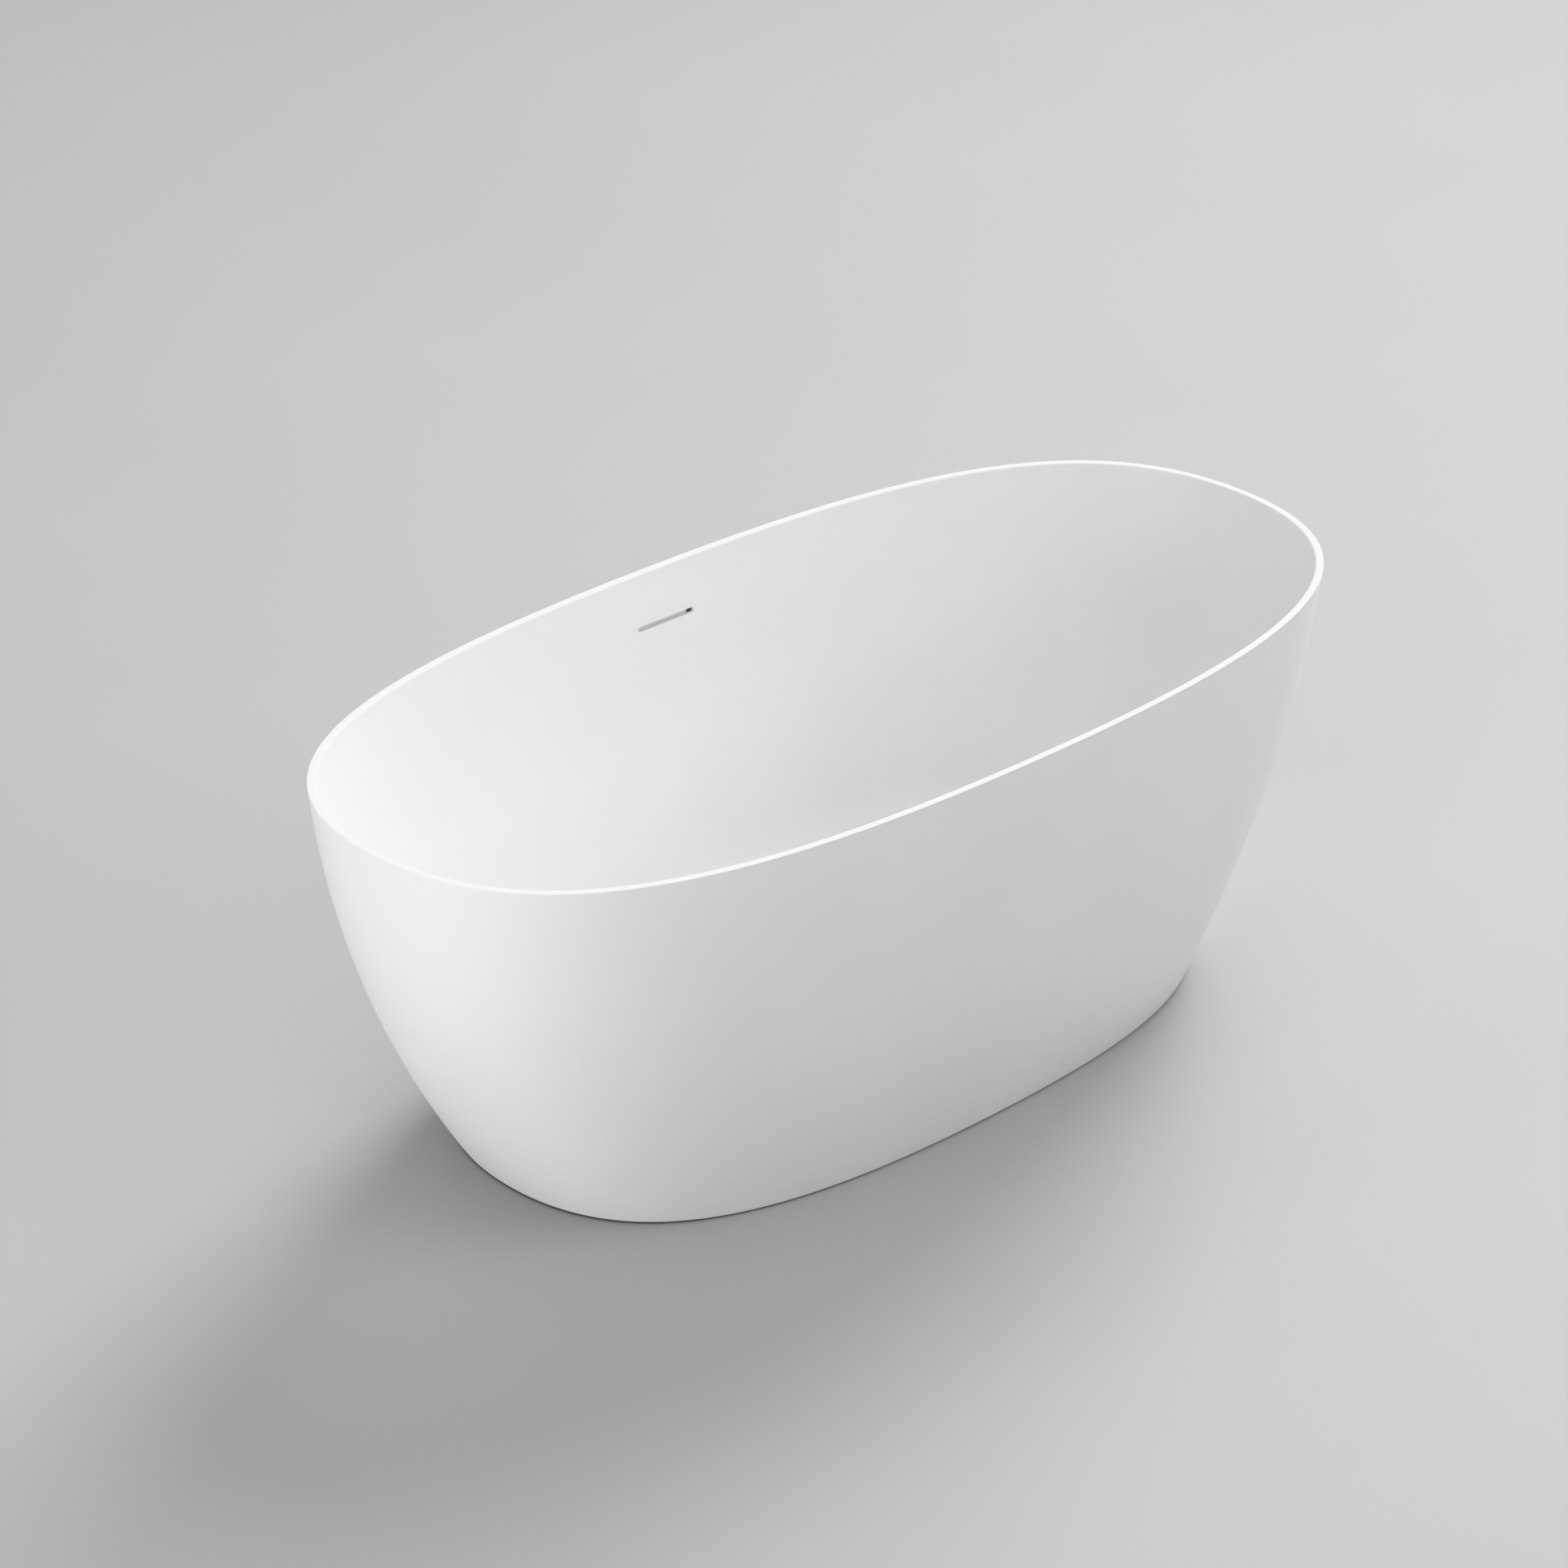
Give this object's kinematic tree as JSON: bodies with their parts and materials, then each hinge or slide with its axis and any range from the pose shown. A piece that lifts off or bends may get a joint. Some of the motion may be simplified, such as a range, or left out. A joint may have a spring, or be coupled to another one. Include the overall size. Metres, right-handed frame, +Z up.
{
  "type": "freestanding bathtub",
  "caption": "Oval freestanding double-ended bath with a thin rim, linear overflow slot, pop-up drain and a hidden levelling frame.",
  "frame": {"origin": "on the floor, below the middle of the rim", "axes": "+X along the bath, +Y across it towards the overflow, +Z up"},
  "size_m": [1.7, 0.8, 0.6],
  "materials": {
    "acrylic_white": "satin white sanitary acrylic",
    "glass_fibre_ring": "rough resin laminate",
    "sealed_board": "resin-sealed particle board",
    "galvanised_steel": "galvanised, satin",
    "zinc_plated_steel": "bright zinc plate",
    "black_plastic": "moulded, matt",
    "grey_plastic": "moulded, matt",
    "hose_plastic": "corrugated, matt",
    "black_rubber": "matt",
    "polished_chrome": "polished",
    "turned_brass": "turned"
  },
  "bodies": {
    "tub": {"inner_shell": "acrylic_white", "outer_skirt": "acrylic_white", "skirt_base_ring": "glass_fibre_ring", "base_board": "sealed_board", "frame_rail_front": "galvanised_steel", "frame_rail_rear": "galvanised_steel", "frame_cross_left": "galvanised_steel", "frame_cross_right": "galvanised_steel", "frame_end_caps": "black_plastic", "frame_screws": "zinc_plated_steel", "foot_weld_nuts": "zinc_plated_steel", "foot_lock_nuts": "zinc_plated_steel", "overflow_gasket": "black_rubber", "overflow_housing": "grey_plastic", "overflow_hose": "hose_plastic", "hose_clamp_upper": "zinc_plated_steel", "hose_clamp_lower": "zinc_plated_steel", "drain_flange": "polished_chrome", "drain_flange_gasket": "black_rubber", "drain_body": "grey_plastic", "drain_body_gasket": "black_rubber", "click_cartridge": "turned_brass", "outlet_tail": "grey_plastic", "outlet_washer": "black_rubber", "outlet_nut": "grey_plastic"},
    "plug": {"plug_cap": "polished_chrome", "plug_seal": "black_rubber", "plug_stem": "turned_brass"},
    "foot_front_left": {"foot_pad_front_left": "black_plastic"},
    "stud_front_left": {"foot_rod_front_left": "zinc_plated_steel"},
    "foot_front_right": {"foot_pad_front_right": "black_plastic"},
    "stud_front_right": {"foot_rod_front_right": "zinc_plated_steel"},
    "foot_rear_left": {"foot_pad_rear_left": "black_plastic"},
    "stud_rear_left": {"foot_rod_rear_left": "zinc_plated_steel"},
    "foot_rear_right": {"foot_pad_rear_right": "black_plastic"},
    "stud_rear_right": {"foot_rod_rear_right": "zinc_plated_steel"}
  },
  "joints": [
    {"name": "plug_lift", "type": "slide", "parent": "tub", "child": "plug", "axis": [0, 0, 1], "range_m": [0, 0.008]},
    {"name": "foot_height_front_left", "type": "slide", "parent": "tub", "child": "foot_front_left", "axis": [0, 0, -1], "range_m": [0, 0.02]},
    {"name": "stud_turn_front_left", "type": "hinge", "parent": "foot_front_left", "child": "stud_front_left", "pos_m": [-0.38, -0.165, 0.05], "axis": [0, 0, -1], "range_deg": [0, 4115.29]},
    {"name": "foot_height_front_right", "type": "slide", "parent": "tub", "child": "foot_front_right", "axis": [0, 0, -1], "range_m": [0, 0.02]},
    {"name": "stud_turn_front_right", "type": "hinge", "parent": "foot_front_right", "child": "stud_front_right", "pos_m": [0.38, -0.165, 0.05], "axis": [0, 0, -1], "range_deg": [0, 4115.29]},
    {"name": "foot_height_rear_left", "type": "slide", "parent": "tub", "child": "foot_rear_left", "axis": [0, 0, -1], "range_m": [0, 0.02]},
    {"name": "stud_turn_rear_left", "type": "hinge", "parent": "foot_rear_left", "child": "stud_rear_left", "pos_m": [-0.38, 0.165, 0.05], "axis": [0, 0, -1], "range_deg": [0, 4115.29]},
    {"name": "foot_height_rear_right", "type": "slide", "parent": "tub", "child": "foot_rear_right", "axis": [0, 0, -1], "range_m": [0, 0.02]},
    {"name": "stud_turn_rear_right", "type": "hinge", "parent": "foot_rear_right", "child": "stud_rear_right", "pos_m": [0.38, 0.165, 0.05], "axis": [0, 0, -1], "range_deg": [0, 4115.29]}
  ],
  "couplings": [
    {"joint": "stud_turn_front_left", "follows": "foot_height_front_left", "rad_per_m": 3590.4},
    {"joint": "stud_turn_front_right", "follows": "foot_height_front_right", "rad_per_m": 3590.4},
    {"joint": "stud_turn_rear_left", "follows": "foot_height_rear_left", "rad_per_m": 3590.4},
    {"joint": "stud_turn_rear_right", "follows": "foot_height_rear_right", "rad_per_m": 3590.4}
  ]
}
